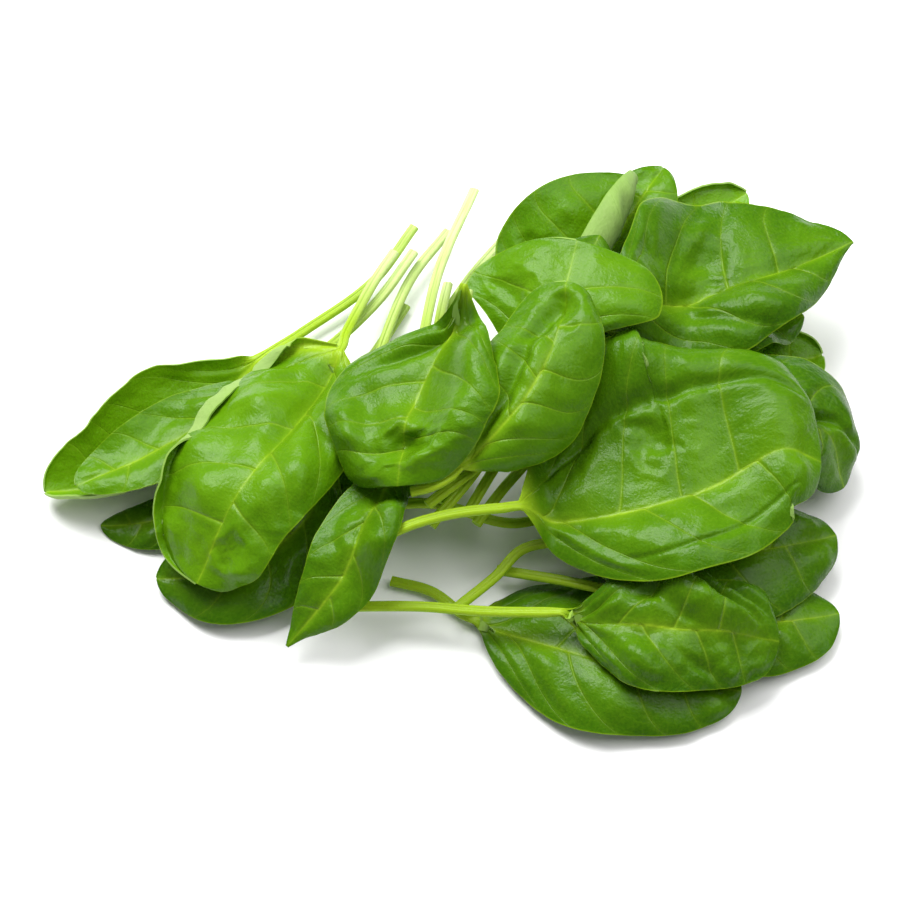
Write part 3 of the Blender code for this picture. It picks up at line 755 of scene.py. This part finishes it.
def leaf_material(name, colours, roughness, translucent, vein_strength, relief_strength):
    """Blade, veins and stalk of one side of the leaves."""
    shader = Shader(name)
    at = leaf_coordinates(shader)
    broad = shader.noise(at["metric"], 9.0, 3.0)
    patchy = shader.noise(at["metric"], 34.0, 3.0, 0.6)
    grainy = shader.noise(at["metric"], 260.0, 2.0)
    net = shader.node("ShaderNodeTexVoronoi", {"feature": "DISTANCE_TO_EDGE"},
                      {"Vector": at["metric"], "Scale": 62.0, "Randomness": 1.0})
    fine_net = shader.node("ShaderNodeTexVoronoi", {"feature": "DISTANCE_TO_EDGE"},
                           {"Vector": at["metric"], "Scale": 190.0, "Randomness": 1.0})
    # Each leaf's tone, with broad and patchy noise, picks its green from deep to mid, and high values reach
    # towards bright: partly the leaf's own shade, partly painted light and shade, darker on the low and
    # right-hand leaves and lighter, yellower on the back and upper left-hand ones.
    depth = at["tone"] * 0.85 + (broad - 0.5) * 0.6 + (patchy - 0.5) * 0.3
    blade = shader.mix(depth, colours["deep"], colours["mid"])
    blade = shader.mix((depth - 0.75) * 0.9, blade, colours["bright"])
    # Painted highlight: the bright colour on the crown of each puffed panel between the side veins, fading
    # towards the margin.
    blade = shader.mix(at["part"] * (1 - at["part"]) * 1.6 * (1 - at["reach"]), blade, colours["bright"])
    blade = shader.mix(shader.between(grainy, 0.35, 0.75) * 0.16, blade, colours["bright"])
    netted = (1 - shader.between(net, 0.0, 0.05)) * 0.06 + (1 - shader.between(fine_net, 0.0, 0.10)) * 0.03
    blade = shader.mix(netted * vein_strength, blade, colours["vein"])
    side_vein = shader.falloff(at["from_vein"], 0.30 - at["reach"] * 0.14) * (1 - at["reach"] * 0.8)
    halo = shader.falloff(at["from_vein"], 1.3) * 0.10
    blade = shader.mix((side_vein * 0.38 + halo) * vein_strength, blade, colours["vein"])
    rib_width = 0.55 - at["share"] * 0.38
    rib = (shader.falloff(at["lateral"], rib_width) * 0.7
           + shader.falloff(at["lateral"], rib_width * 4.0) * 0.3)
    rib = rib * (1 - at["share"] * 0.5) * shader.between(broad, 0.25, 0.7)
    blade = shader.mix(rib, blade, colours["rib"])
    # Painted rim light: a thin band in the edge colour along the margin, lighter than the blade on the
    # upper faces; on the lower faces the band is a darker green.
    blade = shader.mix(shader.between(at["reach"], 0.975, 1.0) * 0.6, blade, colours["edge"])
    streaks = shader.node("ShaderNodeMapping", {"vector_type": "POINT"},
                          {"Vector": at["metric"], "Scale": (6.0, 150.0, 1.0)})
    streak = shader.noise(streaks, 3.0, 2.0)
    # The stalk turns whitish towards its cut end: partly its own paler colour, partly a painted highlight.
    stalk = shader.mix(shader.between(at["cut"], 0.05, 0.85), colours["stalk_end"], colours["stalk"])
    stalk = shader.mix(shader.between(streak, 0.35, 0.7) * 0.35, stalk, colours["stalk_streak"])
    colour = shader.mix(at["stalk"], blade, stalk)
    shine = patchy * 0.16 + grainy * 0.08 + (roughness - 0.12)
    bump_height = (grainy * 0.30 + patchy * 0.40 + shader.between(net, 0.0, 0.3) * 0.05
                   + shader.between(fine_net, 0.0, 0.4) * 0.05 - side_vein * 0.5)
    bump = shader.node("ShaderNodeBump", {},
                       {"Strength": relief_strength, "Distance": 0.0007, "Height": bump_height})
    surface = shader.node("ShaderNodeBsdfPrincipled", {},
                          {"Base Color": colour, "Roughness": shine, "Normal": bump,
                           "IOR": 1.42, "Specular IOR Level": 0.22})
    glow = shader.node("ShaderNodeBsdfTranslucent", {},
                       {"Color": shader.mix(0.55, colour, colours["glow"]), "Normal": bump})
    both = shader.node("ShaderNodeMixShader", {}, {0: translucent, 1: surface, 2: glow})
    return shader.finished(both)


UPPER_COLOURS = {
    "deep": (0.018, 0.085, 0.001), "mid": (0.092, 0.250, 0.002), "bright": (0.160, 0.350, 0.004),
    # edge is the painted rim light along the margin.
    "vein": (0.270, 0.450, 0.018), "rib": (0.380, 0.580, 0.025), "edge": (0.280, 0.460, 0.012),
    # stalk_end is the stalk's own paler end together with a painted highlight.
    "stalk_end": (0.740, 0.840, 0.420), "stalk": (0.360, 0.540, 0.020),
    "stalk_streak": (0.260, 0.440, 0.010), "glow": (0.360, 0.600, 0.002),
}
LOWER_COLOURS = {
    "deep": (0.160, 0.310, 0.040), "mid": (0.300, 0.460, 0.120), "bright": (0.420, 0.560, 0.200),
    "vein": (0.340, 0.540, 0.120), "rib": (0.380, 0.600, 0.120), "edge": (0.240, 0.420, 0.050),
    "stalk_end": (0.720, 0.840, 0.440), "stalk": (0.380, 0.600, 0.050),
    "stalk_streak": (0.280, 0.520, 0.030), "glow": (0.280, 0.620, 0.002),
}


def leaf_materials(settings):
    """The upper and lower finish that all leaves share, made once."""
    names = ("spinach_upper", "spinach_lower")
    if names[0] not in bpy.data.materials:
        leaf_material(names[0], UPPER_COLOURS, settings.upper_roughness, settings.translucency,
                      vein_strength=1.0, relief_strength=0.55)
        leaf_material(names[1], LOWER_COLOURS, settings.lower_roughness, settings.translucency,
                      vein_strength=0.8, relief_strength=0.6)
    return [bpy.data.materials[name] for name in names]


# ---------------------------------------------------------------------------------------------
# Making the pieces
# ---------------------------------------------------------------------------------------------

PILE = Pile()


def deselect_all():
    if bpy.context.object and bpy.context.object.mode != "OBJECT":
        bpy.ops.object.mode_set(mode="OBJECT")
    bpy.ops.object.select_all(action="DESELECT")


def leaf_piece(leaf, settings):
    """A grid with two faces, bent into the leaf, laid on the pile and set on its frame node."""
    t, q = leaf.stations(), leaf.across()
    upper, lower, place, look, cut, metric = leaf_faces(leaf, t, q, settings.blade_thickness / MM)
    stiff = 1 - ease(t, leaf.joint, leaf.joint + 0.12 * (1 - leaf.joint))
    upper, lower = PILE.lay(upper, lower, stiff, leaf.soft)
    deselect_all()
    bpy.ops.mesh.primitive_grid_add(x_subdivisions=len(t) - 1, y_subdivisions=len(q) - 1, size=2,
                                    calc_uvs=True, location=(0, 0, 0))
    piece = bpy.context.object
    piece.name = leaf.name + "_blade"
    piece.data.name = piece.name
    for material in leaf_materials(settings):
        piece.data.materials.append(material)
    flat = np.zeros(len(piece.data.vertices) * 3)
    piece.data.vertices.foreach_get("co", flat)
    flat = flat.reshape(-1, 3)
    row = np.rint((flat[:, 0] + 1) / 2 * (len(t) - 1)).astype(int)
    column = np.rint((flat[:, 1] + 1) / 2 * (len(q) - 1)).astype(int)
    solid = piece.modifiers.new("two faces", "SOLIDIFY")
    solid.thickness = 0.01
    solid.offset = -1
    solid.material_offset = 1
    solid.material_offset_rim = 1
    bpy.ops.object.modifier_apply(modifier=solid.name)
    mesh = piece.data
    on_lower = len(mesh.vertices) // 2
    row, column = np.tile(row, 2), np.tile(column, 2)
    below = np.arange(len(mesh.vertices)) >= on_lower
    points = np.where(below[:, None], lower[row, column], upper[row, column]) * MM
    mesh.vertices.foreach_set("co", points.astype(np.float32).ravel())
    for name, table in (("place", place), ("look", look)):
        attribute = mesh.attributes.new(name, "FLOAT_VECTOR", "POINT")
        attribute.data.foreach_set("vector", table[row, column].astype(np.float32).ravel())
    # The tone attribute carries each leaf's lightness: partly its own shade of green, partly painted light
    # and shade.
    for name, table in (("cut", cut[row, column]), ("tone", np.full(len(row), leaf.tone))):
        attribute = mesh.attributes.new(name, "FLOAT", "POINT")
        attribute.data.foreach_set("value", table.astype(np.float32))
    corner = np.zeros(len(mesh.loops), dtype=np.int32)
    mesh.loops.foreach_get("vertex_index", corner)
    shift = np.random.default_rng(leaf.seed).uniform(0, 5, 2)
    uv = metric[row[corner], column[corner]] / UV_MM
    uv[:, 0] += shift[0]
    mesh.uv_layers["UVMap"].data.foreach_set("uv", uv.astype(np.float32).ravel())
    mesh.update()
    bpy.ops.object.shade_smooth_by_angle(angle=math.radians(60))
    check_place(leaf.name, points)
    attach(piece, "root")
    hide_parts(leaf.name)
    return piece


def check_place(name, points):
    """Stop if a finished leaf's box differs from its frame node's by more than STRAY."""
    low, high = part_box(name)
    stray = max(np.abs(points.min(0) - np.array(low)).max(), np.abs(points.max(0) - np.array(high)).max())
    print(f"{name}: box differs from the frame's by {stray / MM:.1f} mm")
    if stray > STRAY * MM:
        raise RuntimeError(f"{name} lies {stray / MM:.1f} mm away from its frame node")


class SpinachLeafSettings(bpy.types.PropertyGroup):
    blade_thickness: bpy.props.FloatProperty(
        name="Blade thickness", description="Thickness of a leaf's blade between its veins",
        default=0.45 * MM, min=0.1 * MM, subtype="DISTANCE", unit="LENGTH")
    upper_roughness: bpy.props.FloatProperty(
        name="Upper roughness", description="Roughness of the upper faces", default=0.26, min=0, max=1,
        subtype="FACTOR")
    lower_roughness: bpy.props.FloatProperty(
        name="Lower roughness", description="Roughness of the lower faces", default=0.58, min=0, max=1,
        subtype="FACTOR")
    translucency: bpy.props.FloatProperty(
        name="Translucency", description="Share of light that passes through a blade", default=0.26,
        min=0, max=1, subtype="FACTOR")


class SpinachStageSettings(bpy.types.PropertyGroup):
    elevation: bpy.props.FloatProperty(
        name="Elevation", description="How steeply the camera looks down", default=math.radians(60),
        subtype="ANGLE", unit="ROTATION")
    distance: bpy.props.FloatProperty(
        name="Distance", description="From the camera to the bunch", default=0.7, subtype="DISTANCE",
        unit="LENGTH")
    floor_colour: bpy.props.FloatVectorProperty(
        name="Floor", description="Colour of the floor", default=(0.9, 0.9, 0.9), subtype="COLOR", size=3)
    key_power: bpy.props.FloatProperty(
        name="Key light", description="Power of the main softbox in watts", default=20.0, unit="POWER")
    sky: bpy.props.FloatProperty(
        name="Surround", description="Strength of the even light from all around", default=0.24)


def lay_leaves(leaves, context):
    for leaf in leaves:
        leaf_piece(leaf, context.scene.spinach_leaves)
    return {"FINISHED"}


class SPINACH_OT_ground_leaves(bpy.types.Operator):
    """Lay the leaves that lie on the surface and those just above them"""
    bl_idname = "spinach.ground_leaves"
    bl_label = "Ground Leaves"

    def execute(self, context):
        return lay_leaves(ground_leaves(), context)


class SPINACH_OT_back_leaves(bpy.types.Operator):
    """Lay the leaves at the back of the heap"""
    bl_idname = "spinach.back_leaves"
    bl_label = "Back Leaves"

    def execute(self, context):
        return lay_leaves(back_leaves(), context)


class SPINACH_OT_top_leaves(bpy.types.Operator):
    """Lay the large leaves that cover the heap"""
    bl_idname = "spinach.top_leaves"
    bl_label = "Top Leaves"

    def execute(self, context):
        return lay_leaves(top_leaves(), context)


class SPINACH_OT_stage(bpy.types.Operator):
    """Set up the floor, the softboxes and the camera"""
    bl_idname = "spinach.stage"
    bl_label = "Stage"

    def execute(self, context):
        settings = context.scene.spinach_stage
        low, high = (np.array(corner) for corner in CAD_BOX)
        target = Vector(((low[0] + high[0]) / 2, (low[1] + high[1]) / 2 - TARGET_FORWARD, TARGET_HEIGHT))
        deselect_all()
        bpy.ops.mesh.primitive_plane_add(size=FLOOR_SIZE, location=(0, 0, -FLOOR_DROP))
        floor = bpy.context.object
        floor.name = "floor"
        shader = Shader("floor_paper")
        surface = shader.node("ShaderNodeBsdfPrincipled", {},
                              {"Base Color": (*settings.floor_colour, 1), "Roughness": 0.9,
                               "Specular IOR Level": 0.1})
        floor.data.materials.append(shader.finished(surface))
        softbox("key_softbox", target, Vector(KEY_OFFSET), KEY_SIZE, settings.key_power)
        softbox("fill_softbox", target, Vector(FILL_OFFSET), FILL_SIZE, settings.key_power * FILL_SHARE)
        surround = bpy.data.worlds.new("surround")
        surround.use_nodes = True
        background = surround.node_tree.nodes["Background"]
        background.inputs["Color"].default_value = (1, 1, 1, 1)
        background.inputs["Strength"].default_value = settings.sky
        context.scene.world = surround
        view = Vector((0, -math.cos(settings.elevation), math.sin(settings.elevation)))
        bpy.ops.object.camera_add(location=target + view * settings.distance)
        camera = bpy.context.object
        camera.name = "camera"
        camera.rotation_euler = view.to_track_quat("Z", "Y").to_euler()
        camera.data.sensor_width = SENSOR_WIDTH
        camera.data.lens = LENS
        camera.data.clip_start = 0.01
        context.scene.camera = camera
        context.scene.view_settings.view_transform = "Standard"
        return {"FINISHED"}


def softbox(name, target, offset, size, power):
    """A square area light at the offset from the target, facing it."""
    bpy.ops.object.light_add(type="AREA", location=target + offset)
    light = bpy.context.object
    light.name = name
    light.rotation_euler = offset.to_track_quat("Z", "Y").to_euler()
    light.data.size = size
    light.data.energy = power


class SPINACH_PT_panel(bpy.types.Panel):
    """Buttons for each step of the bunch"""
    bl_idname = "SPINACH_PT_panel"
    bl_label = "Spinach Bunch"
    bl_space_type = "VIEW_3D"
    bl_region_type = "UI"
    bl_category = "Spinach"

    def draw(self, context):
        for operator in OPERATORS:
            self.layout.operator(operator.bl_idname)
        for group in (context.scene.spinach_leaves, context.scene.spinach_stage):
            for name in group.bl_rna.properties.keys():
                if name not in ("rna_type", "name"):
                    self.layout.prop(group, name)


OPERATORS = (SPINACH_OT_ground_leaves, SPINACH_OT_back_leaves, SPINACH_OT_top_leaves, SPINACH_OT_stage)
GROUPS = (SpinachLeafSettings, SpinachStageSettings)


def register():
    for cls in (*GROUPS, *OPERATORS, SPINACH_PT_panel):
        bpy.utils.register_class(cls)
    bpy.types.Scene.spinach_leaves = bpy.props.PointerProperty(type=SpinachLeafSettings)
    bpy.types.Scene.spinach_stage = bpy.props.PointerProperty(type=SpinachStageSettings)


def unregister():
    del bpy.types.Scene.spinach_leaves
    del bpy.types.Scene.spinach_stage
    for cls in reversed((*GROUPS, *OPERATORS, SPINACH_PT_panel)):
        bpy.utils.unregister_class(cls)


def main():
    register()
    bpy.ops.spinach.ground_leaves()
    bpy.ops.spinach.back_leaves()
    bpy.ops.spinach.top_leaves()
    bpy.ops.spinach.stage()


if __name__ == "__main__":
    main()
